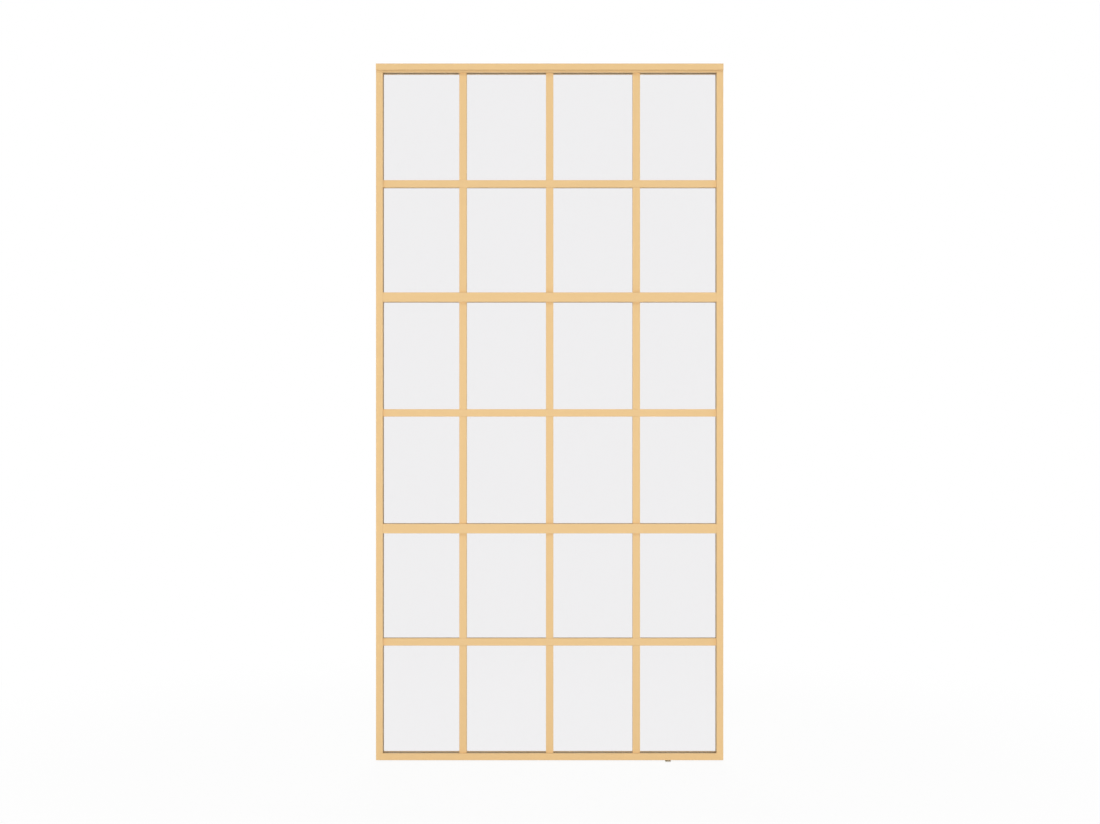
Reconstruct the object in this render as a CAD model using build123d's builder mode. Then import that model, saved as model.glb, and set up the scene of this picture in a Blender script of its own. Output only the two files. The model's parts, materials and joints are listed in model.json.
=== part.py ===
"""A glazed sliding door: a slim aluminium leaf that rolls under a short head rail.

Millimetres. X runs along the head rail, towards the side that the leaf opens to. Y runs from front to back.
Z is up. The origin is on the floor, below the middle of the closed leaf. The leaf is drawn closed.
"""

import os

from build123d import *

# The leaf as a whole
leaf_width = 1025.0
leaf_height = 2050.0
leaf_depth = 40.0
floor_gap = 6.0
travel = 700.0

# Aluminium sections of the leaf
face_width = 20.0
mid_rail_face = 28.0
section_wall = 1.8
inner_wall = 1.5
edge_chamfer = 0.5

# Glass, and how it is held
glass_thickness = 6.0
glass_bite = 5.3
pocket_width = 13.0
pocket_depth = 8.5
top_pocket_depth = 6.0
gasket_recess = 0.5
gasket_slope = 0.6
gasket_height = 4.5
setting_block_length = 60.0
setting_block_width = 10.0
setting_block_inset = 130.0

# Glazing bars on both faces of the glass
panes_across = 4
bar_width = 22.0
bar_thickness = 7.0
bar_edge_chamfer = 0.5
halving_clearance = 0.1
outer_row_shift = 3.0

# Running rail, along the top of the leaf
slot_width = 10.0
lip_thickness = 1.9
end_cover_thickness = 1.5
end_cover_spigot = 1.8
spigot_clearance = 0.15

# Wheels and axles
wheel_diameter = 10.0
wheel_width = 10.0
axle_set_in = 0.6
running_gap = 0.3
wheel_side_gap = 1.0
axle_diameter = 4.0
axle_running_clearance = 0.03
fit_clearance = 0.02
bush_wall = 1.0

# Roller hangers
hanger_length = 44.0
hanger_plate = 3.0
hanger_corner_chamfer = 4.0
hanger_head_width = 7.0
axle_spacing = 30.0
guide_shoe_clearance = 0.4
hanger_screw_diameter = 4.0
hanger_screw_length = 6.0
hanger_hole_spare = 0.3

# Head rail
head_wall = 3.0
head_web = 2.5
head_flange = 18.6
head_side_gap = 3.0
head_top_gap = 2.5
head_edge_chamfer = 0.6
countersink_diameter = 9.0
countersink_angle = 90.0
fixing_hole_diameter = 5.0
fixing_spacing_x = 640.0
fixing_spacing_y = 28.0

# End stops of the running rail
stop_length = 22.0
stop_side_clearance = 0.2
stop_gap = 0.5
buffer_thickness = 3.0
buffer_width = 20.0
buffer_margin = 1.0
stop_screw_diameter = 4.0
stop_screw_length = 30.0
stop_screw_head_diameter = 7.0
stop_screw_head_height = 4.0
screw_hole_clearance = 0.15
screw_head_clearance = 0.3

# Joints of the leaf's frame
top_block_height = 30.0
cleat_leg = 60.0
cleat_clearance = 0.1
port_clearance = 0.05
port_wall = 1.8
rail_screw_diameter = 4.2
rail_screw_length = 30.0
rail_screw_head_diameter = 8.0
rail_screw_head_height = 2.6
access_hole_size = 9.5
access_plug_depth = 4.0

# Floor guide
guide_plate_thickness = 2.0
guide_plate_width = 16.0
guide_plate_depth = 38.0
guide_plate_chamfer = 3.0
guide_groove_width = 9.0
guide_groove_web = 2.0
guide_clearance = 0.3
guide_top_gap = 1.5
guide_pin_diameter = 5.0
guide_pin_spare = 0.5
guide_hole_diameter = 4.4
guide_hole_spacing = 26.0

# Levels that follow from the sizes above
channel_clear = wheel_diameter + 2 * running_gap
running_rail_face = top_pocket_depth + inner_wall + channel_clear + lip_thickness
leaf_bottom = floor_gap
leaf_top = leaf_bottom + leaf_height
running_rail_bottom = leaf_top - running_rail_face
pocket_ceiling = running_rail_bottom + top_pocket_depth
channel_floor = pocket_ceiling + inner_wall
lip_underside = channel_floor + channel_clear
axle_height = channel_floor + running_gap + wheel_diameter / 2
hanger_shoulder = lip_underside + running_gap
web_underside = leaf_top + head_top_gap
head_top = web_underside + head_web

# Half widths and half depths that follow from the sizes above
half_width = leaf_width / 2
half_depth = leaf_depth / 2
half_glass = glass_thickness / 2
half_pocket = pocket_width / 2
opening_half = half_width - face_width
chamber_half = half_depth - section_wall
pocket_outside = half_pocket + inner_wall
bar_front = half_glass + bar_thickness
rail_end = half_width - end_cover_thickness
head_half_depth = half_depth + head_side_gap + head_wall
guide_groove_depth = face_width - pocket_depth - guide_groove_web
wheel_inner_face = hanger_plate / 2 + wheel_side_gap
bush_radius = axle_diameter / 2 + axle_running_clearance + bush_wall

# The leaf's three glazed fields, from the bottom up
mid_rail_heights = [leaf_bottom + leaf_height * third / 3 for third in (1, 2)]
field_names = ["lower", "middle", "upper"]
field_bottoms = [leaf_bottom + face_width] + [z + mid_rail_face / 2 for z in mid_rail_heights]
field_tops = [z - mid_rail_face / 2 for z in mid_rail_heights] + [running_rail_bottom]
row_shifts = [outer_row_shift, 0.0, -outer_row_shift]
bar_columns = [leaf_width * (n / panes_across - 0.5) for n in range(1, panes_across)]

# The hangers stand where the end stops meet them at the two ends of the travel
stop_face = rail_end - stop_length - buffer_thickness
outer_hanger_x = stop_face - stop_gap - hanger_length / 2
inner_hanger_x = travel - stop_face + stop_gap + hanger_length / 2
hanger_places = {"inner": inner_hanger_x, "outer": outer_hanger_x}
axle_places = [x + side * axle_spacing / 2 for x in (inner_hanger_x, outer_hanger_x) for side in (-1, 1)]
guide_x = (inner_hanger_x + outer_hanger_x) / 2
stop_screw_x = (opening_half + pocket_depth + inner_wall + half_width - section_wall) / 2

os.makedirs("parts", exist_ok=True)


def save(part, name):
    part.label = name
    export_step(part, f"parts/{name}.step")


def span(side, near, far):
    """The range from near to far on the given side of zero, lowest first."""
    return tuple(sorted((side * near, side * far)))


def rectangle_between(across, up, mode=Mode.ADD):
    """A rectangle in the sketch at hand, over the range across it and the range up it."""
    with Locations(((across[0] + across[1]) / 2, (up[0] + up[1]) / 2)):
        Rectangle(across[1] - across[0], up[1] - up[0], mode=mode)


# Head rail: an inverted U, countersunk from below for its fixings and from above for the hangers' screws


def make_head_rail():
    with BuildPart() as rail:
        with BuildSketch(Plane.YZ.offset(-half_width)) as section:
            rectangle_between((-head_half_depth, head_half_depth), (head_top - head_flange, head_top))
            chamfer(section.vertices(), head_edge_chamfer)
            inner_half = head_half_depth - head_wall
            inner_range = (head_top - head_flange, web_underside)
            rectangle_between((-inner_half, inner_half), inner_range, Mode.SUBTRACT)
        extrude(amount=leaf_width)
        with Locations(Location((0, 0, web_underside), (180, 0, 0))):
            with GridLocations(fixing_spacing_x, fixing_spacing_y, 2, 2):
                hole_radius = fixing_hole_diameter / 2
                CounterSinkHole(hole_radius, countersink_diameter / 2, head_web, countersink_angle)
        with Locations(*[(x, 0, head_top) for x in hanger_places.values()]):
            hole_radius = hanger_screw_diameter / 2 + screw_hole_clearance
            CounterSinkHole(hole_radius, countersink_diameter / 2, head_web, countersink_angle)
    save(rail.part, "head_rail")


# Roller hangers: a milled plate that hangs through the slot of the running rail and carries two axles


def make_hanger(name, centre_x):
    head_half = hanger_head_width / 2
    plate_half = hanger_plate / 2
    with BuildPart() as hanger:
        with BuildSketch(Plane.YZ.offset(centre_x - hanger_length / 2)):
            rectangle_between((-head_half, head_half), (hanger_shoulder, web_underside))
            rectangle_between((-plate_half, plate_half), (channel_floor + 2 * running_gap, hanger_shoulder))
        extrude(amount=hanger_length)
        chamfer(hanger.edges().filter_by(Axis.Y).group_by(Axis.Z)[0], hanger_corner_chamfer)
        with BuildSketch(Plane.XZ):
            with Locations((centre_x, axle_height)):
                with GridLocations(axle_spacing, 1, 2, 1):
                    Circle(bush_radius + fit_clearance)
        extrude(amount=hanger_plate, both=True, mode=Mode.SUBTRACT)
        with Locations((centre_x, 0, web_underside)):
            hole_depth = hanger_screw_length - head_web + hanger_hole_spare
            Hole(hanger_screw_diameter / 2 + fit_clearance, hole_depth)
    save(hanger.part, f"hanger_{name}")


def make_guide_shoe(name, centre_x):
    """A plastic ring pressed round the hanger's head, which keeps the rail's lips off the steel."""
    shoe_width = slot_width - 2 * guide_shoe_clearance
    shoe_wall = (shoe_width - hanger_head_width) / 2
    with BuildPart() as shoe:
        with BuildSketch(Plane.XY.offset(hanger_shoulder)) as ring:
            with Locations((centre_x, 0)):
                Rectangle(hanger_length + 2 * shoe_wall, shoe_width)
                chamfer(ring.vertices(), shoe_wall)
                Rectangle(hanger_length, hanger_head_width, mode=Mode.SUBTRACT)
        extrude(amount=web_underside - hanger_shoulder)
    save(shoe.part, f"guide_shoe_{name}")


def make_hanger_screws():
    head_radius = countersink_diameter / 2 - screw_hole_clearance
    shank_radius = hanger_screw_diameter / 2
    with BuildPart() as screws:
        with Locations(*[(x, 0, head_top) for x in hanger_places.values()]):
            Cylinder(shank_radius, hanger_screw_length, align=(Align.CENTER, Align.CENTER, Align.MAX))
            Cone(
                shank_radius,
                head_radius,
                head_radius - shank_radius,
                align=(Align.CENTER, Align.CENTER, Align.MAX),
            )
    save(screws.part, "hanger_screws")


# Bushes, axles and wheels: the bushes stay in the hangers, each axle turns with its pair of wheels


def make_axle_bushes():
    half_length = (hanger_plate + wheel_side_gap) / 2
    with BuildPart() as bushes:
        with BuildSketch(Plane.XZ.offset(-half_length)):
            with Locations(*[(x, axle_height) for x in axle_places]):
                Circle(bush_radius)
                Circle(axle_diameter / 2 + axle_running_clearance, mode=Mode.SUBTRACT)
        extrude(amount=2 * half_length)
    save(bushes.part, "axle_bushes")


def make_axle(number, axle_x):
    with BuildPart() as axle:
        with BuildSketch(Plane.XZ):
            with Locations((axle_x, axle_height)):
                Circle(axle_diameter / 2)
        extrude(amount=wheel_inner_face + wheel_width - axle_set_in, both=True)
    save(axle.part, f"axle_{number}")


def make_wheels(number, axle_x):
    with BuildPart() as wheels:
        with BuildSketch(Plane.XZ.offset(wheel_inner_face)):
            with Locations((axle_x, axle_height)):
                Circle(wheel_diameter / 2)
                Circle(axle_diameter / 2 + fit_clearance, mode=Mode.SUBTRACT)
        extrude(amount=wheel_width)
        mirror(about=Plane.XZ)
    save(wheels.part, f"wheels_{number}")


# Floor guide: a plate, a riveted pin and the sleeve that the leaf's groove slides over


def make_floor_guide():
    sleeve_radius = guide_groove_width / 2 - guide_clearance
    sleeve_top = leaf_bottom + guide_groove_depth - guide_top_gap
    pin_radius = guide_pin_diameter / 2
    with BuildPart() as plate:
        with BuildSketch() as outline:
            with Locations((guide_x, 0)):
                Rectangle(guide_plate_width, guide_plate_depth)
                chamfer(outline.vertices(), guide_plate_chamfer)
                Circle(pin_radius + fit_clearance, mode=Mode.SUBTRACT)
                with GridLocations(1, guide_hole_spacing, 1, 2):
                    Circle(guide_hole_diameter / 2, mode=Mode.SUBTRACT)
        extrude(amount=guide_plate_thickness)
    with BuildPart() as pin:
        with BuildSketch():
            with Locations((guide_x, 0)):
                Circle(pin_radius)
        extrude(amount=sleeve_top - guide_pin_spare)
    with BuildPart() as sleeve:
        with BuildSketch(Plane.XY.offset(guide_plate_thickness)):
            with Locations((guide_x, 0)):
                Circle(sleeve_radius)
                Circle(pin_radius + fit_clearance, mode=Mode.SUBTRACT)
        extrude(amount=sleeve_top - guide_plate_thickness)
    save(plate.part, "floor_guide_base")
    save(pin.part, "floor_guide_pin")
    save(sleeve.part, "floor_guide_sleeve")


# Running rail: a glazing pocket below, and above it a channel whose lips ride on the wheels


def make_top_rail():
    with BuildPart() as rail:
        with BuildSketch(Plane.YZ.offset(-rail_end)) as section:
            rectangle_between((-half_depth, half_depth), (running_rail_bottom, leaf_top))
            chamfer(section.vertices(), edge_chamfer)
            pocket_range = (running_rail_bottom, pocket_ceiling)
            rectangle_between((-half_pocket, half_pocket), pocket_range, Mode.SUBTRACT)
            for side in (-1, 1):
                chamber_range = (running_rail_bottom + section_wall, pocket_ceiling)
                rectangle_between(span(side, pocket_outside, chamber_half), chamber_range, Mode.SUBTRACT)
            rectangle_between((-chamber_half, chamber_half), (channel_floor, lip_underside), Mode.SUBTRACT)
            rectangle_between((-slot_width / 2, slot_width / 2), (lip_underside, leaf_top), Mode.SUBTRACT)
        extrude(amount=2 * rail_end)
        with BuildSketch(Plane.XY.offset(leaf_top)):
            for side in (-1, 1):
                rectangle_between(span(side, rail_end - stop_length, rail_end), (-chamber_half, chamber_half))
        extrude(amount=-lip_thickness, mode=Mode.SUBTRACT)
        with Locations((0, 0, leaf_top)):
            with GridLocations(2 * stop_screw_x, 1, 2, 1):
                Hole(stop_screw_diameter / 2 + screw_hole_clearance)
    save(rail.part, "top_rail")


def make_end_cover(name, side):
    """A plate that closes the rail's end, with a spigot in the glazing pocket."""
    spigot_half = half_pocket - spigot_clearance
    with BuildPart() as cover:
        with BuildSketch(Plane.YZ.offset(side * rail_end)) as plate:
            rectangle_between((-half_depth, half_depth), (running_rail_bottom, leaf_top))
            chamfer(plate.vertices(), edge_chamfer)
        extrude(amount=side * end_cover_thickness)
        with BuildSketch(Plane.YZ.offset(side * rail_end)):
            spigot_range = (running_rail_bottom + edge_chamfer, pocket_ceiling - spigot_clearance)
            rectangle_between((-spigot_half, spigot_half), spigot_range)
        extrude(amount=-side * end_cover_spigot)
    save(cover.part, f"end_cover_{name}")


def make_end_stop(name, side):
    """The block that closes the channel, and the rubber buffer that meets the hanger."""
    stop_half = chamber_half - stop_side_clearance
    block_face = rail_end - stop_length
    with BuildPart() as stop:
        with BuildSketch(Plane.XY.offset(channel_floor)):
            rectangle_between(span(side, block_face, rail_end), (-stop_half, stop_half))
        extrude(amount=leaf_top - channel_floor)
        with Locations((side * stop_screw_x, 0, leaf_top)):
            CounterBoreHole(
                stop_screw_diameter / 2 + screw_hole_clearance,
                stop_screw_head_diameter / 2 + screw_head_clearance,
                stop_screw_head_height + screw_head_clearance,
            )
    with BuildPart() as rubber:
        with BuildSketch(Plane.YZ.offset(side * block_face)):
            buffer_range = (channel_floor + buffer_margin, lip_underside - buffer_margin)
            rectangle_between((-buffer_width / 2, buffer_width / 2), buffer_range)
        extrude(amount=-side * buffer_thickness)
        buffer_front = rubber.faces().sort_by(Axis.X)[0 if side > 0 else -1]
        chamfer(buffer_front.edges(), buffer_margin)
    save(stop.part, f"end_stop_{name}")
    save(rubber.part, f"buffer_{name}")


def make_end_stop_screws():
    head_seat = leaf_top - stop_screw_head_height - screw_head_clearance
    with BuildPart() as screws:
        with Locations((0, 0, head_seat)):
            with GridLocations(2 * stop_screw_x, 1, 2, 1):
                Cylinder(
                    stop_screw_diameter / 2, stop_screw_length, align=(Align.CENTER, Align.CENTER, Align.MAX)
                )
                Cylinder(
                    stop_screw_head_diameter / 2,
                    stop_screw_head_height,
                    align=(Align.CENTER, Align.CENTER, Align.MIN),
                )
    save(screws.part, "end_stop_screws")


# Stiles: a hollow section with a glazing pocket, mitred at the foot and cut square under the running rail


def stile_chamber(side, clearance, mode):
    """The stile's hollow in plan, or what fills it with a clearance all round."""
    pocket_back = opening_half + pocket_depth + inner_wall
    far_wall = half_width - section_wall
    depth = chamber_half - clearance
    rectangle_between(span(side, pocket_back + clearance, far_wall - clearance), (-depth, depth), mode)
    for end in (-1, 1):
        cheek = span(side, opening_half + section_wall + clearance, far_wall - clearance)
        rectangle_between(cheek, span(end, pocket_outside + clearance, depth), mode)


def make_stile(name, side):
    with BuildPart() as stile:
        with BuildSketch(Plane.XY.offset(leaf_bottom)) as section:
            rectangle_between(span(side, opening_half, half_width), (-half_depth, half_depth))
            chamfer(section.vertices(), edge_chamfer)
            pocket = span(side, opening_half, opening_half + pocket_depth)
            rectangle_between(pocket, (-half_pocket, half_pocket), Mode.SUBTRACT)
            stile_chamber(side, 0, Mode.SUBTRACT)
        extrude(amount=running_rail_bottom - leaf_bottom)
        mitre = Plane(origin=(side * half_width, 0, leaf_bottom), z_dir=(side, 0, 1))
        split(bisect_by=mitre, keep=Keep.TOP)
        with BuildSketch(Plane.YZ.offset(side * (opening_half + pocket_depth))):
            with Locations(*[(0, z) for z in mid_rail_heights]):
                Circle(rail_screw_diameter / 2 + screw_hole_clearance)
        extrude(amount=side * inner_wall, mode=Mode.SUBTRACT)
        with BuildSketch(Plane.YZ.offset(side * half_width)):
            with Locations(*[(0, z) for z in mid_rail_heights]):
                Rectangle(access_hole_size, access_hole_size)
        extrude(amount=-side * section_wall, mode=Mode.SUBTRACT)
    save(stile.part, f"stile_{name}")


def make_top_block(name, side):
    """A block crimped into the stile's top, tapped for the end stop's screw."""
    with BuildPart() as block:
        with BuildSketch(Plane.XY.offset(running_rail_bottom)):
            stile_chamber(side, cleat_clearance, Mode.ADD)
        extrude(amount=-top_block_height)
        with Locations((side * stop_screw_x, 0, running_rail_bottom)):
            Hole(stop_screw_diameter / 2 + fit_clearance)
    save(block.part, f"top_block_{name}")


# Bottom rail: a glazing pocket above and the groove for the floor guide below


def make_bottom_rail():
    rail_top = leaf_bottom + face_width
    groove_half = guide_groove_width / 2
    groove_top = leaf_bottom + guide_groove_depth
    with BuildPart() as rail:
        with BuildSketch(Plane.YZ.offset(-half_width)) as section:
            rectangle_between((-half_depth, half_depth), (leaf_bottom, rail_top))
            chamfer(section.vertices(), edge_chamfer)
            pocket_range = (rail_top - pocket_depth, rail_top)
            rectangle_between((-half_pocket, half_pocket), pocket_range, Mode.SUBTRACT)
            rectangle_between((-groove_half, groove_half), (leaf_bottom, groove_top), Mode.SUBTRACT)
            for side in (-1, 1):
                beside_pocket = span(side, pocket_outside, chamber_half)
                beside_groove = span(side, groove_half + inner_wall, chamber_half)
                chamber_floor = leaf_bottom + section_wall
                rectangle_between(beside_pocket, (chamber_floor, rail_top - section_wall), Mode.SUBTRACT)
                rectangle_between(beside_groove, (chamber_floor, groove_top), Mode.SUBTRACT)
        extrude(amount=leaf_width)
        for side in (-1, 1):
            mitre = Plane(origin=(side * half_width, 0, leaf_bottom), z_dir=(side, 0, 1))
            split(bisect_by=mitre, keep=Keep.BOTTOM)
    save(rail.part, "bottom_rail")


def make_corner_cleats(name, side):
    """Two cast angles crimped into the mitre, one in front of the glass and one behind it."""
    set_in = section_wall + cleat_clearance
    leg_end = half_width - cleat_leg
    with BuildPart() as cleats:
        with BuildSketch(Plane.XZ.offset(pocket_outside + cleat_clearance)):
            rail_range = (leaf_bottom + set_in, leaf_bottom + face_width - set_in)
            rectangle_between(span(side, leg_end, half_width - set_in), rail_range)
            stile_range = span(side, opening_half + set_in, half_width - set_in)
            rectangle_between(stile_range, (leaf_bottom + set_in, leaf_bottom + cleat_leg))
        extrude(amount=chamber_half - pocket_outside - 2 * cleat_clearance)
        mirror(about=Plane.XZ)
    save(cleats.part, f"corner_cleats_{name}")


# Mid rails: a glazing pocket above and below, and between them a square port for the screw at each end


def make_mid_rail(name, rail_z):
    half_face = mid_rail_face / 2
    web_half = half_face - pocket_depth - inner_wall
    port_size = rail_screw_diameter + 2 * port_clearance
    with BuildPart() as rail:
        with BuildSketch(Plane.YZ.offset(-opening_half)) as section:
            rectangle_between((-half_depth, half_depth), (rail_z - half_face, rail_z + half_face))
            chamfer(section.vertices(), edge_chamfer)
            for side in (-1, 1):
                pocket = span(side, half_face - pocket_depth, half_face)
                pocket_range = (rail_z + pocket[0], rail_z + pocket[1])
                rectangle_between((-half_pocket, half_pocket), pocket_range, Mode.SUBTRACT)
                chamber_range = (rail_z - half_face + section_wall, rail_z + half_face - section_wall)
                rectangle_between(span(side, pocket_outside, chamber_half), chamber_range, Mode.SUBTRACT)
            between_webs = (rail_z - web_half, rail_z + web_half)
            rectangle_between((-chamber_half, chamber_half), between_webs, Mode.SUBTRACT)
            with Locations((0, rail_z)):
                Rectangle(port_size + 2 * port_wall, 2 * web_half)
                Rectangle(port_size, port_size, mode=Mode.SUBTRACT)
        extrude(amount=2 * opening_half)
    save(rail.part, f"mid_rail_{name}")


def make_mid_rail_screws():
    head_seat = opening_half + pocket_depth + inner_wall
    screw_places = [(0, z) for z in mid_rail_heights]
    with BuildPart() as screws:
        for side in (-1, 1):
            with BuildSketch(Plane.YZ.offset(side * head_seat)):
                with Locations(*screw_places):
                    Circle(rail_screw_diameter / 2)
            extrude(amount=-side * rail_screw_length)
            with BuildSketch(Plane.YZ.offset(side * head_seat)):
                with Locations(*screw_places):
                    Circle(rail_screw_head_diameter / 2)
            extrude(amount=side * rail_screw_head_height)
    save(screws.part, "mid_rail_screws")


def make_access_plugs():
    """Plugs in the square holes punched in the stiles' outer walls, through which the screws go in."""
    plug_size = access_hole_size - 2 * fit_clearance
    with BuildPart() as plugs:
        for side in (-1, 1):
            with BuildSketch(Plane.YZ.offset(side * half_width)):
                with Locations(*[(0, z) for z in mid_rail_heights]):
                    Rectangle(plug_size, plug_size)
            extrude(amount=-side * access_plug_depth)
    save(plugs.part, "access_plugs")


# Glass, its gaskets and the blocks that it stands on


def make_glass(name, bottom, top):
    half_sheet = opening_half + glass_bite
    with BuildPart() as sheet:
        with BuildSketch(Plane.XZ):
            rectangle_between((-half_sheet, half_sheet), (bottom - glass_bite, top + glass_bite))
        extrude(amount=half_glass, both=True)
    save(sheet.part, f"glass_{name}")


def gasket_section(direction):
    """The wedge between glass and pocket wall: first coordinate into the pocket, second along the depth."""
    near = direction * half_glass
    far = direction * half_pocket
    heel = gasket_recess + gasket_height
    lip = gasket_recess + gasket_slope
    Polygon((gasket_recess, near), (lip, far), (heel, far), (heel, near), align=None)


def make_gaskets(name, bottom, top):
    for face_name, direction in (("front", -1), ("back", 1)):
        strip_half = opening_half + gasket_recess + gasket_height
        with BuildPart() as strips:
            for side in (-1, 1):
                foot = (side * opening_half, 0, bottom - gasket_recess)
                into_stile = Plane(origin=foot, x_dir=(side, 0, 0), z_dir=(0, 0, side))
                with BuildSketch(into_stile):
                    gasket_section(direction)
                extrude(amount=side * (top - bottom + 2 * gasket_recess))
            for edge, into in ((bottom, -1), (top, 1)):
                into_rail = Plane(origin=(-strip_half, 0, edge), x_dir=(0, 0, into), z_dir=(-into, 0, 0))
                with BuildSketch(into_rail):
                    gasket_section(direction)
                extrude(amount=-into * 2 * strip_half)
        save(strips.part, f"gaskets_{face_name}_{name}")


def make_setting_blocks():
    with BuildPart() as blocks:
        for bottom in field_bottoms:
            with BuildSketch(Plane.XY.offset(bottom - pocket_depth)):
                with GridLocations(2 * (opening_half - setting_block_inset), 1, 2, 1):
                    Rectangle(setting_block_length, setting_block_width)
            extrude(amount=pocket_depth - glass_bite)
    save(blocks.part, "setting_blocks")


# Glazing bars: uprights and a cross bar, halved into each other and bonded to the glass


def ease_outer_edges(bar, along):
    """Chamfers the long edges of the bar's outer face."""
    outer_edges = bar.edges().filter_by(along).group_by(lambda edge: abs(edge.center().Y))[-1]
    chamfer(outer_edges, bar_edge_chamfer)


def make_glazing_bars(name, bottom, top, shift):
    row_z = (bottom + top) / 2 + shift
    notch_half = bar_width / 2 + halving_clearance
    halving_plane = half_glass + bar_thickness / 2
    for face_name, direction in (("front", -1), ("back", 1)):
        with BuildPart() as uprights:
            with BuildSketch(Plane.XY.offset(bottom)):
                for column_x in bar_columns:
                    across = (column_x - bar_width / 2, column_x + bar_width / 2)
                    rectangle_between(across, span(direction, half_glass, bar_front))
            extrude(amount=top - bottom)
            ease_outer_edges(uprights, Axis.Z)
            with BuildSketch(Plane.XY.offset(row_z)):
                rectangle_between((-opening_half, opening_half), span(direction, halving_plane, bar_front))
            extrude(amount=notch_half, both=True, mode=Mode.SUBTRACT)
        with BuildPart() as cross_bar:
            with BuildSketch(Plane.XY.offset(row_z)):
                rectangle_between((-opening_half, opening_half), span(direction, half_glass, bar_front))
            extrude(amount=bar_width / 2, both=True)
            ease_outer_edges(cross_bar, Axis.X)
            with BuildSketch(Plane.XY.offset(row_z)):
                for column_x in bar_columns:
                    notch = (column_x - notch_half, column_x + notch_half)
                    rectangle_between(notch, span(direction, half_glass, halving_plane))
            extrude(amount=bar_width, both=True, mode=Mode.SUBTRACT)
        save(uprights.part, f"upright_bars_{face_name}_{name}")
        save(cross_bar.part, f"cross_bar_{face_name}_{name}")


make_head_rail()
make_hanger_screws()
for place, place_x in hanger_places.items():
    make_hanger(place, place_x)
    make_guide_shoe(place, place_x)

make_axle_bushes()
for axle_number, place_x in enumerate(axle_places, start=1):
    make_axle(axle_number, place_x)
    make_wheels(axle_number, place_x)

make_floor_guide()

make_top_rail()
make_bottom_rail()
for side_name, side_sign in (("left", -1), ("right", 1)):
    make_stile(side_name, side_sign)
    make_top_block(side_name, side_sign)
    make_corner_cleats(side_name, side_sign)
    make_end_cover(side_name, side_sign)
    make_end_stop(side_name, side_sign)
make_end_stop_screws()

for rail_name, rail_height in zip(("lower", "upper"), mid_rail_heights):
    make_mid_rail(rail_name, rail_height)
make_mid_rail_screws()
make_access_plugs()

for field, field_bottom, field_top, row_shift in zip(field_names, field_bottoms, field_tops, row_shifts):
    make_glass(field, field_bottom, field_top)
    make_gaskets(field, field_bottom, field_top)
    make_glazing_bars(field, field_bottom, field_top, row_shift)
make_setting_blocks()
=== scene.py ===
"""The looks of the glazed sliding door: finishes, screws and wheels in full detail, lights and camera.

Lengths are in metres, in the door's own frame: X along the head rail, Y to the back, Z up from the floor.
"""

import json
import math

import bmesh
import bpy
from mathutils import Matrix, Vector


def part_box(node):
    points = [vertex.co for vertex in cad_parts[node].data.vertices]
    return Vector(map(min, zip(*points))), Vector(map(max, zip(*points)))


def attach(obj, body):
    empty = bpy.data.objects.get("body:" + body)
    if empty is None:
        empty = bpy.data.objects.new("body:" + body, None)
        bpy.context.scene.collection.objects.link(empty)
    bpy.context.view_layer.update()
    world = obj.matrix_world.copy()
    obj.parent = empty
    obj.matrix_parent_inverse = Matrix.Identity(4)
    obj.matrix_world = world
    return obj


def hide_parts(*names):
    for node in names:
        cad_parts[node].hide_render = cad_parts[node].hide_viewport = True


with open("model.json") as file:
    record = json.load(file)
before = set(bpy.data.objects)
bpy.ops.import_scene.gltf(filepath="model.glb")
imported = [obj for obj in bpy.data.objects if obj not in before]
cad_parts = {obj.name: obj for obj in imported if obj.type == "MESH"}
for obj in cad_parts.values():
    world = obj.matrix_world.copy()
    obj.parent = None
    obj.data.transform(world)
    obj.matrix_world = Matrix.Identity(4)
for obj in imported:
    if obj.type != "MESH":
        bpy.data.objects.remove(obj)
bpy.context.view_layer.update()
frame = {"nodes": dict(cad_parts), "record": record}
slot_of = {entry["node"]: entry["material_slot"] for entry in frame["record"]["subparts"]}
MM = 0.001


# Camera: straight on, as in the photograph, set from the leaf's own front face and foot

PHOTO_WIDTH = 1100
MM_PER_PIXEL = 2.951
CAMERA_DISTANCE = 5.0
CAMERA_ABOVE_LEAF_FOOT = 1.0276
CAMERA_RIGHT = 0.001
SENSOR_WIDTH = 36.0


def make_camera():
    leaf_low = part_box("bottom_rail")[0]
    seen_width = PHOTO_WIDTH * MM_PER_PIXEL * MM
    data = bpy.data.cameras.new("camera")
    data.sensor_width = SENSOR_WIDTH
    data.lens = SENSOR_WIDTH * CAMERA_DISTANCE / seen_width
    camera = bpy.data.objects.new("camera", data)
    camera.location = (CAMERA_RIGHT, leaf_low.y - CAMERA_DISTANCE, leaf_low.z + CAMERA_ABOVE_LEAF_FOOT)
    camera.rotation_euler = (math.radians(90), 0, 0)
    bpy.context.scene.collection.objects.link(camera)
    bpy.context.scene.camera = camera


# Shader arithmetic, and the builder that every finish, the floor and the world use


class Value:
    """One output of a shader's node. Arithmetic on it adds Math nodes."""

    def __init__(self, shader, socket):
        self.shader = shader
        self.socket = socket

    def combined(self, operation, first, second):
        return self.shader.node("ShaderNodeMath", {"operation": operation}, {0: first, 1: second})

    def __add__(self, other):
        return self.combined("ADD", self, other)

    __radd__ = __add__

    def __sub__(self, other):
        return self.combined("SUBTRACT", self, other)

    def __rsub__(self, other):
        return self.combined("SUBTRACT", other, self)

    def __mul__(self, other):
        return self.combined("MULTIPLY", self, other)

    __rmul__ = __mul__


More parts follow.
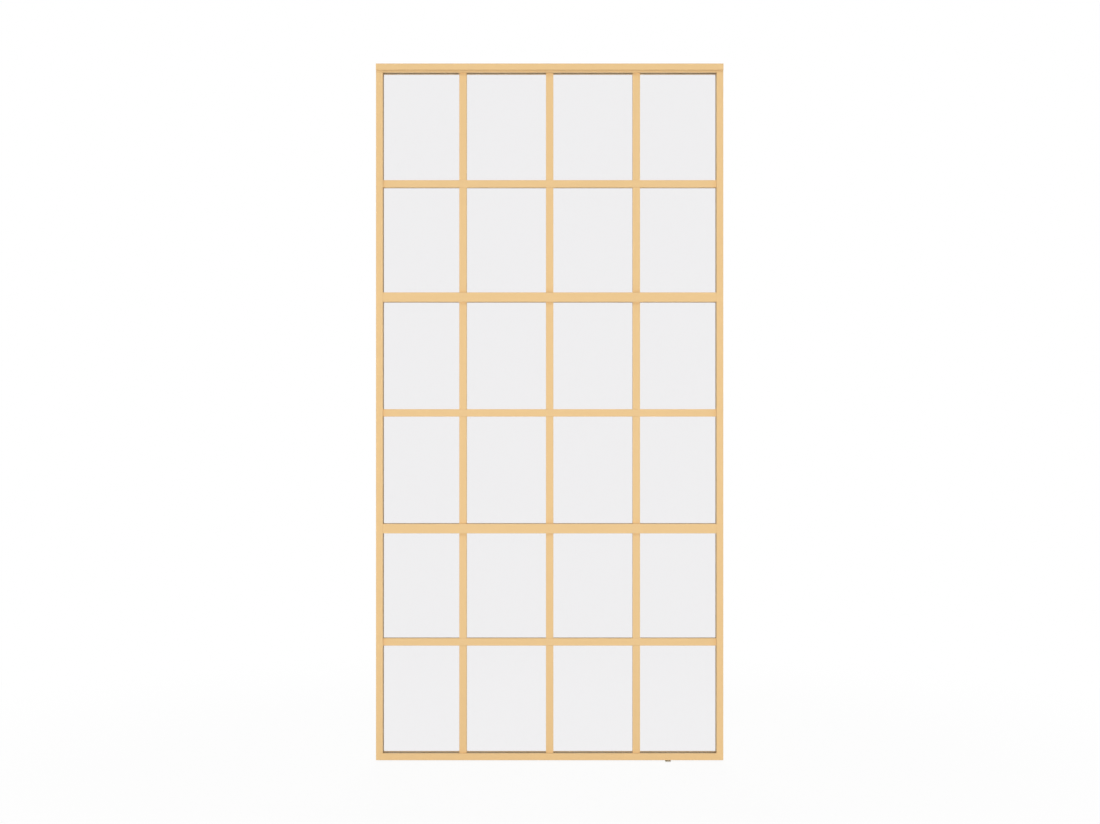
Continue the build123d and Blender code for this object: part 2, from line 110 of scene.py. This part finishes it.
class Shader:
    """The nodes of one material or of the world."""

    def __init__(self, owner):
        owner.use_nodes = True
        self.owner = owner
        self.tree = owner.node_tree
        self.tree.nodes.clear()

    def node(self, kind, settings=None, inputs=None, output=0):
        """Adds a node, sets it up, gives its sockets their values or links, and returns one output."""
        made = self.tree.nodes.new(kind)
        for key, setting in (settings or {}).items():
            setattr(made, key, setting)
        for key, given in (inputs or {}).items():
            if isinstance(given, Value):
                self.tree.links.new(given.socket, made.inputs[key])
            else:
                made.inputs[key].default_value = given
        return Value(self, made.outputs[output]) if made.outputs else None

    def place(self):
        """The point on the object, in metres."""
        return self.node("ShaderNodeTexCoord", output="Object")

    def noise(self, scale, detail=2.0, roughness=0.5, stretch=None):
        """Random grains, about scale of them in a metre. A stretch below 1 draws them out on that axis."""
        place = self.place()
        if stretch:
            place = self.node("ShaderNodeVectorMath", {"operation": "MULTIPLY"}, {0: place, 1: stretch})
        inputs = {"Vector": place, "Scale": scale, "Detail": detail, "Roughness": roughness}
        return self.node("ShaderNodeTexNoise", None, inputs)

    def tint(self, factor, first, second):
        """A colour between two colours."""
        inputs = {0: factor, 6: (*first, 1), 7: (*second, 1)}
        return self.node("ShaderNodeMix", {"data_type": "RGBA"}, inputs, output=2)

    def bump(self, height, strength, distance):
        inputs = {"Height": height, "Strength": strength, "Distance": distance}
        return self.node("ShaderNodeBump", None, inputs)

    def seen_directly(self):
        """Nought where it only gives light, and one or more where the camera, a mirror or glass sees it."""
        rays = ("Is Camera Ray", "Is Glossy Ray", "Is Transmission Ray")
        seen, mirrored, through = [self.node("ShaderNodeLightPath", output=ray) for ray in rays]
        return seen + mirrored + through

    def end_with(self, result, output_kind="ShaderNodeOutputMaterial"):
        """Links the finished surface to the output, and returns the material or world."""
        self.node(output_kind, None, {"Surface": result})
        return self.owner

    def surface(self, inputs):
        return self.end_with(self.node("ShaderNodeBsdfPrincipled", None, inputs))


def new_finish(name):
    return Shader(bpy.data.materials.new(name))


def scaled(colour, share):
    return tuple(channel * share for channel in colour)


# Finishes

COAT_LIGHT = (0.850, 0.585, 0.288)
COAT_DEEP = (0.826, 0.561, 0.268)
ALUMINIUM_LIGHT = (0.80, 0.80, 0.81)
ALUMINIUM_DARK = (0.60, 0.60, 0.62)
ZINC_LIGHT = (0.70, 0.71, 0.73)
ZINC_DARK = (0.50, 0.51, 0.54)
GROUND_STEEL_BRIGHTNESS = 0.9
BRONZE_LIGHT = (0.66, 0.43, 0.20)
BRONZE_DARK = (0.42, 0.25, 0.10)
ACETAL_LIGHT = (0.84, 0.83, 0.79)
ACETAL_DARK = (0.78, 0.76, 0.70)
GASKET_RUBBER = (0.40, 0.33, 0.24)
BUFFER_RUBBER = (0.03, 0.03, 0.03)
BLOCK_PLASTIC = (0.04, 0.04, 0.045)
PLUG_PLASTIC = (0.80, 0.55, 0.27)
GLASS_TINT = (0.861, 0.855, 0.864)


def champagne_coat():
    """Satin powder coat: a faint orange peel, a fine grit in the gloss and a slight drift of the shade."""
    coat = new_finish("champagne_coat")
    drift = coat.noise(3.0, detail=1.0)
    grit = coat.noise(2600.0, detail=3.0)
    peel = coat.noise(420.0)
    return coat.surface(
        {
            "Base Color": coat.tint(drift, COAT_DEEP, COAT_LIGHT),
            "Roughness": 0.40 + grit * 0.12,
            "Normal": coat.bump(peel * 0.8 + grit * 0.2, strength=0.12, distance=0.0002),
            "Specular IOR Level": 0.35,
        }
    )


def mill_aluminium():
    """Bare extruded aluminium, with fine die lines along X."""
    metal = new_finish("mill_aluminium")
    lines = metal.noise(900.0, detail=3.0, stretch=(0.02, 1.0, 1.0))
    cloud = metal.noise(30.0)
    return metal.surface(
        {
            "Base Color": metal.tint(cloud * 0.6 + lines * 0.4, ALUMINIUM_DARK, ALUMINIUM_LIGHT),
            "Metallic": 1.0,
            "Roughness": 0.28 + lines * 0.22,
            "Normal": metal.bump(lines, strength=0.25, distance=0.0001),
        }
    )


def zinc_steel(name, brightness=1.0):
    """Zinc-plated steel: bright, slightly blue, with soft blotches and fine scratches along X."""
    steel = new_finish(name)
    blotch = steel.noise(160.0, detail=4.0, roughness=0.6)
    scratches = steel.noise(1800.0, stretch=(0.05, 1.0, 1.0))
    return steel.surface(
        {
            "Base Color": steel.tint(blotch, scaled(ZINC_DARK, brightness), scaled(ZINC_LIGHT, brightness)),
            "Metallic": 1.0,
            "Roughness": 0.22 + blotch * 0.18,
            "Normal": steel.bump(scratches, strength=0.15, distance=0.00005),
        }
    )


def sintered_bronze():
    """Sintered bronze, with the specks of its pores."""
    bronze = new_finish("sintered_bronze")
    pores = bronze.noise(4000.0, detail=3.0)
    return bronze.surface(
        {
            "Base Color": bronze.tint(pores, BRONZE_DARK, BRONZE_LIGHT),
            "Metallic": 1.0,
            "Roughness": 0.35 + pores * 0.25,
            "Normal": bronze.bump(pores, strength=0.3, distance=0.0001),
        }
    )


def natural_acetal():
    """Off-white acetal: waxy, with faint turning marks."""
    plastic = new_finish("natural_acetal")
    mottle = plastic.noise(220.0)
    marks = plastic.noise(3000.0, detail=1.0, stretch=(1.0, 0.05, 1.0))
    return plastic.surface(
        {
            "Base Color": plastic.tint(mottle, ACETAL_DARK, ACETAL_LIGHT),
            "Roughness": 0.34 + marks * 0.10,
            "Normal": plastic.bump(marks, strength=0.12, distance=0.00005),
            "Subsurface Weight": 0.15,
            "Subsurface Scale": 0.002,
        }
    )


def rubber(name, shade):
    """Matt extruded rubber with a fine bloom."""
    matt = new_finish(name)
    bloom = matt.noise(700.0, detail=3.0)
    return matt.surface(
        {
            "Base Color": matt.tint(bloom, scaled(shade, 0.85), shade),
            "Roughness": 0.70 + bloom * 0.2,
            "Normal": matt.bump(bloom, strength=0.2, distance=0.0001),
        }
    )


def moulded_plastic(name, shade):
    """Plastic with the fine grain of its mould."""
    satin = new_finish(name)
    grain = satin.noise(1500.0, detail=3.0)
    return satin.surface(
        {
            "Base Color": satin.tint(grain, scaled(shade, 0.92), shade),
            "Roughness": 0.45 + grain * 0.15,
            "Normal": satin.bump(grain, strength=0.2, distance=0.0001),
        }
    )


def clear_glass():
    """Clear toughened glass: a slight grey on the way through, and faint waves from the oven's rollers."""
    glass = new_finish("clear_glass")
    roller_wave = glass.noise(6.0, detail=1.0, stretch=(1.0, 1.0, 2.5))
    return glass.surface(
        {
            "Base Color": (*GLASS_TINT, 1),
            "Roughness": 0.0,
            "IOR": 1.5,
            "Transmission Weight": 1.0,
            "Normal": glass.bump(roller_wave, strength=0.03, distance=0.0005),
        }
    )


def make_finishes():
    """The finish of every material slot in the record."""
    coat = champagne_coat()
    steel = zinc_steel("zinc_steel")
    acetal = natural_acetal()
    return {
        "head_coat": coat,
        "frame_coat": coat,
        "bar_coat": coat,
        "clear_glass": clear_glass(),
        "gasket_rubber": rubber("gasket_rubber", GASKET_RUBBER),
        "setting_block_plastic": moulded_plastic("setting_block", BLOCK_PLASTIC),
        "plain_aluminium": mill_aluminium(),
        "buffer_rubber": rubber("buffer_rubber", BUFFER_RUBBER),
        "steel_screws": steel,
        "plug_plastic": moulded_plastic("plug_plastic", PLUG_PLASTIC),
        "hanger_steel": steel,
        "shoe_plastic": acetal,
        "bush_bronze": sintered_bronze(),
        "axle_steel": zinc_steel("ground_steel", GROUND_STEEL_BRIGHTNESS),
        "wheel_plastic": acetal,
    }


def dress_solids(finishes):
    """Gives every solid of the construction the finish of its slot."""
    for node, slot_name in slot_of.items():
        for slot in frame["nodes"][node].material_slots:
            slot.material = finishes[slot_name]


# New pieces, each in the place of the plain solids that the construction holds

# How many points a ring has, and within how many millimetres the points of a solid are joined
AROUND = 30
WELD = 0.02


def solids_of(node):
    """The lowest and highest corner of every separate solid of a node, from left to right."""
    mesh = bmesh.new()
    mesh.from_mesh(frame["nodes"][node].data)
    bmesh.ops.remove_doubles(mesh, verts=mesh.verts, dist=WELD * MM)
    waiting = set(mesh.verts)
    corners = []
    while waiting:
        reached = [waiting.pop()]
        for vertex in reached:
            near = {edge.other_vert(vertex) for edge in vertex.link_edges} & waiting
            waiting -= near
            reached.extend(near)
        places = [tuple(vertex.co) for vertex in reached]
        corners.append((tuple(map(min, zip(*places))), tuple(map(max, zip(*places)))))
    mesh.free()
    return [(Vector(low), Vector(high)) for low, high in sorted(corners)]


def skin_over(mesh, rings, place, looped=False):
    """Joins rings of points. Each is a height along the axis, and a radius or a rule that gives it."""
    rows = []
    for height, radius in rings:
        row = []
        for step in range(AROUND):
            angle = 2 * math.pi * step / AROUND
            reach = radius(angle, height) if callable(radius) else radius
            point = Vector((reach * math.cos(angle), reach * math.sin(angle), height))
            row.append(mesh.verts.new(place @ point))
        rows.append(row)
    next_rows = rows[1:] + rows[:1] if looped else rows[1:]
    for row, next_row in zip(rows, next_rows):
        for step in range(AROUND):
            after = (step + 1) % AROUND
            mesh.faces.new((row[step], next_row[step], next_row[after], row[after]))
    if not looped:
        mesh.faces.new(rows[0])
        mesh.faces.new(rows[-1])


def add_piece(name, mesh, body, node, finishes):
    """Makes an object of the mesh, which moves with the body and stands for the node."""
    bmesh.ops.recalc_face_normals(mesh, faces=mesh.faces)
    data = bpy.data.meshes.new(name)
    mesh.to_mesh(data)
    mesh.free()
    data.materials.append(finishes[slot_of[node]])
    piece = bpy.data.objects.new(name, data)
    bpy.context.scene.collection.objects.link(piece)
    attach(piece, body)
    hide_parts(node)


# Screws with their sockets and threads, in millimetres. The rim, the socket and the thread are widths

SCREWS = {
    "hanger_screws": {
        "body": "head", "lying": False, "countersunk": True, "rim": 8.7, "head_height": 2.35,
        "socket": 2.5, "socket_depth": 1.2, "thread": 4.0, "pitch": 0.7,
    },
    "end_stop_screws": {
        "body": "leaf", "lying": False, "countersunk": False, "rim": 7.0, "head_height": 4.0,
        "socket": 3.0, "socket_depth": 2.0, "thread": 4.0, "pitch": 0.7,
    },
    "mid_rail_screws": {
        "body": "leaf", "lying": True, "countersunk": False, "rim": 8.0, "head_height": 2.6,
        "socket": 3.0, "socket_depth": 1.4, "thread": 4.2, "pitch": 1.4,
    },
}
SCREW_EASE = 0.3

# A thread's depth as a share of its pitch, how steeply its flanks rise, and how finely it is drawn
THREAD_DEPTH = 0.6
FLANK_SLOPE = 1.5
RINGS_PER_PITCH = 6


def hexagon(across_flats):
    """A rule that gives the radius of a hexagonal socket at each angle."""
    sixth = math.pi / 3

    def radius(angle, height):
        return across_flats / 2 / math.cos((angle + sixth / 2) % sixth - sixth / 2)

    return radius


def thread(crest, depth, pitch, start, end):
    """A rule that gives the radius of a thread, which runs out over one pitch at its start and its end."""

    def radius(angle, height):
        turn = (height / pitch + angle / (2 * math.pi)) % 1.0
        ridge = min(1.0, FLANK_SLOPE * (1 - abs(2 * turn - 1)))
        fade = min(1.0, (start - height) / pitch, (height - end) / pitch)
        return crest - depth * (1 - ridge) * max(0.0, fade)

    return radius


def screw_rings(length, size):
    """The rings of one screw from the floor of its socket, over its top at height nought, to its tip."""
    rim = size["rim"] * MM / 2
    crest = size["thread"] * MM / 2
    socket = hexagon(size["socket"] * MM)
    ease = SCREW_EASE * MM
    head = size["head_height"] * MM
    rings = [(-size["socket_depth"] * MM, socket), (0, socket), (0, rim - ease)]
    if size["countersunk"]:
        rings += [(-ease / 3, rim - ease / 3), (-head, crest)]
    else:
        rings += [(-ease, rim), (-head, rim), (-head, crest)]
    pitch = size["pitch"] * MM
    start = -head - ease
    end = -length + ease
    cut = thread(crest, THREAD_DEPTH * pitch, pitch, start, end)
    count = math.ceil((start - end) / pitch * RINGS_PER_PITCH)
    rings += [(start + (end - start) * step / count, cut) for step in range(count + 1)]
    rings.append((-length, crest - ease))
    return rings


def make_screws(node, size, finishes):
    """Screws that stand with their heads up, or lie along X with their heads to the outside."""
    mesh = bmesh.new()
    for low, high in solids_of(node):
        top = (low + high) / 2
        if size["lying"]:
            outward = Vector((math.copysign(1.0, top.x), 0, 0))
            length = high.x - low.x
            top.x = high.x if outward.x > 0 else low.x
        else:
            outward = Vector((0, 0, 1))
            length = high.z - low.z
            top.z = high.z
        place = Matrix.Translation(top) @ outward.to_track_quat("Z", "Y").to_matrix().to_4x4()
        skin_over(mesh, screw_rings(length, size), place)
    add_piece("threaded_" + node, mesh, size["body"], node, finishes)


# Wheels with rounded treads and a dish in each end, in millimetres. The bore and the dish's edges are radii

WHEELSETS = 4
WHEEL_BORE = 2.02
WHEEL_EDGE = 0.5
EDGE_STEPS = 3
DISH_DEPTH = 0.4
DISH_FROM = 3.0
DISH_TO = 4.2


def wheel_rings(half, tread):
    """The rings of one wheel from the bore, over one end and the tread, to the bore at the other end."""
    edge = WHEEL_EDGE * MM
    dish = DISH_DEPTH * MM
    end = [(half, WHEEL_BORE * MM), (half, DISH_FROM * MM), (half - dish, DISH_FROM * MM + dish / 2)]
    end += [(half - dish, DISH_TO * MM - dish / 2), (half, DISH_TO * MM)]
    for step in range(EDGE_STEPS + 1):
        angle = math.pi / 2 * step / EDGE_STEPS
        end.append((half - edge * (1 - math.cos(angle)), tread - edge * (1 - math.sin(angle))))
    return end + [(-height, radius) for height, radius in reversed(end)]


def make_wheels(number, finishes):
    """The pair of wheels on one axle."""
    node = f"wheels_{number}"
    mesh = bmesh.new()
    for low, high in solids_of(node):
        half, tread = (high.y - low.y) / 2, (high.z - low.z) / 2
        place = Matrix.Translation((low + high) / 2) @ Matrix.Rotation(math.pi / 2, 4, "X")
        skin_over(mesh, wheel_rings(half, tread), place, looped=True)
    add_piece(f"turned_{node}", mesh, f"wheelset_{number}", node, finishes)


# Surroundings: a pale floor, and soft light from all round

FLOOR_SIZE = 14.0
FLOOR_SHADE = (0.90, 0.90, 0.90)
SOFT_LIGHT = 0.55
SOFT_SHADE = (0.8, 0.8, 0.8)
WHITE = (1, 1, 1)

# Near the door the camera sees this share of the matt floor, and the stronger glow keeps the rest white
SHADOW_SHARE = 0.08
SHADOW_FADES_FROM = 0.9
SHADOW_FADES_OVER = 1.6
NEAR_GLOW = (1.010, 1.010, 1.010)


def floor_white():
    """A pale matt surface that the camera, mirrors and glass see as white, with a faint shadow."""
    pale = new_finish("floor_white")
    matt = pale.node("ShaderNodeBsdfDiffuse", None, {"Color": (*FLOOR_SHADE, 1)})
    distance = pale.node("ShaderNodeVectorMath", {"operation": "LENGTH"}, {0: pale.place()}, output=1)
    near = pale.node(
        "ShaderNodeMapRange",
        {"interpolation_type": "SMOOTHSTEP"},
        {
            "Value": distance,
            "From Min": SHADOW_FADES_FROM,
            "From Max": SHADOW_FADES_FROM + SHADOW_FADES_OVER,
            "To Min": 1.0,
            "To Max": 0.0,
        },
    )
    whiteness = pale.tint(near, WHITE, NEAR_GLOW)
    glow = pale.node("ShaderNodeEmission", None, {"Color": whiteness, "Strength": 1.0})
    share = pale.seen_directly() * (1 - near * SHADOW_SHARE)
    return pale.end_with(pale.node("ShaderNodeMixShader", None, {0: share, 1: matt, 2: glow}))


def make_floor():
    bpy.ops.mesh.primitive_plane_add(size=FLOOR_SIZE)
    floor = bpy.context.object
    floor.name = "floor"
    floor.data.materials.append(floor_white())


def make_world():
    """Soft light from all round, in which the camera, mirrors and glass see white."""
    studio = Shader(bpy.data.worlds.new("studio"))
    soft = studio.node("ShaderNodeBackground", None, {"Color": (*SOFT_SHADE, 1), "Strength": SOFT_LIGHT})
    white = studio.node("ShaderNodeBackground", None, {"Color": (*WHITE, 1)})
    mixed = studio.node("ShaderNodeMixShader", None, {0: studio.seen_directly(), 1: soft, 2: white})
    bpy.context.scene.world = studio.end_with(mixed, "ShaderNodeOutputWorld")


# Lamps in pairs, before and behind the door, in metres and watts

LOW_LAMP = {"away": 5.0, "height": 0.5, "aim_height": 0.5, "size": (3.5, 0.9), "power": 92}
HIGH_LAMP = {"away": 14.0, "height": 14.0, "aim_height": 1.0, "size": (6.0, 4.0), "power": 620}


def make_lamp(name, side, away, height, aim_height, size, power):
    """A rectangular lamp that the camera, mirrors and glass don't see."""
    data = bpy.data.lights.new(name, "AREA")
    data.shape = "RECTANGLE"
    data.size, data.size_y = size
    data.energy = power
    lamp = bpy.data.objects.new(name, data)
    lamp.location = (0, side * away, height)
    lamp.rotation_mode = "QUATERNION"
    lamp.rotation_quaternion = Vector((0, -side * away, aim_height - height)).to_track_quat("-Z", "Y")
    bpy.context.scene.collection.objects.link(lamp)
    lamp.visible_camera = False
    lamp.visible_glossy = False
    lamp.visible_transmission = False


def make_lamps():
    for side, name in ((-1, "front"), (1, "back")):
        make_lamp(f"{name}_lamp", side, **LOW_LAMP)
        make_lamp(f"high_{name}_lamp", side, **HIGH_LAMP)


# The whole scene

bpy.context.scene.view_settings.view_transform = "Standard"
make_camera()
make_floor()
make_world()
make_lamps()
door_finishes = make_finishes()
dress_solids(door_finishes)
for screw_node, screw_size in SCREWS.items():
    make_screws(screw_node, screw_size, door_finishes)
for wheelset in range(1, WHEELSETS + 1):
    make_wheels(wheelset, door_finishes)
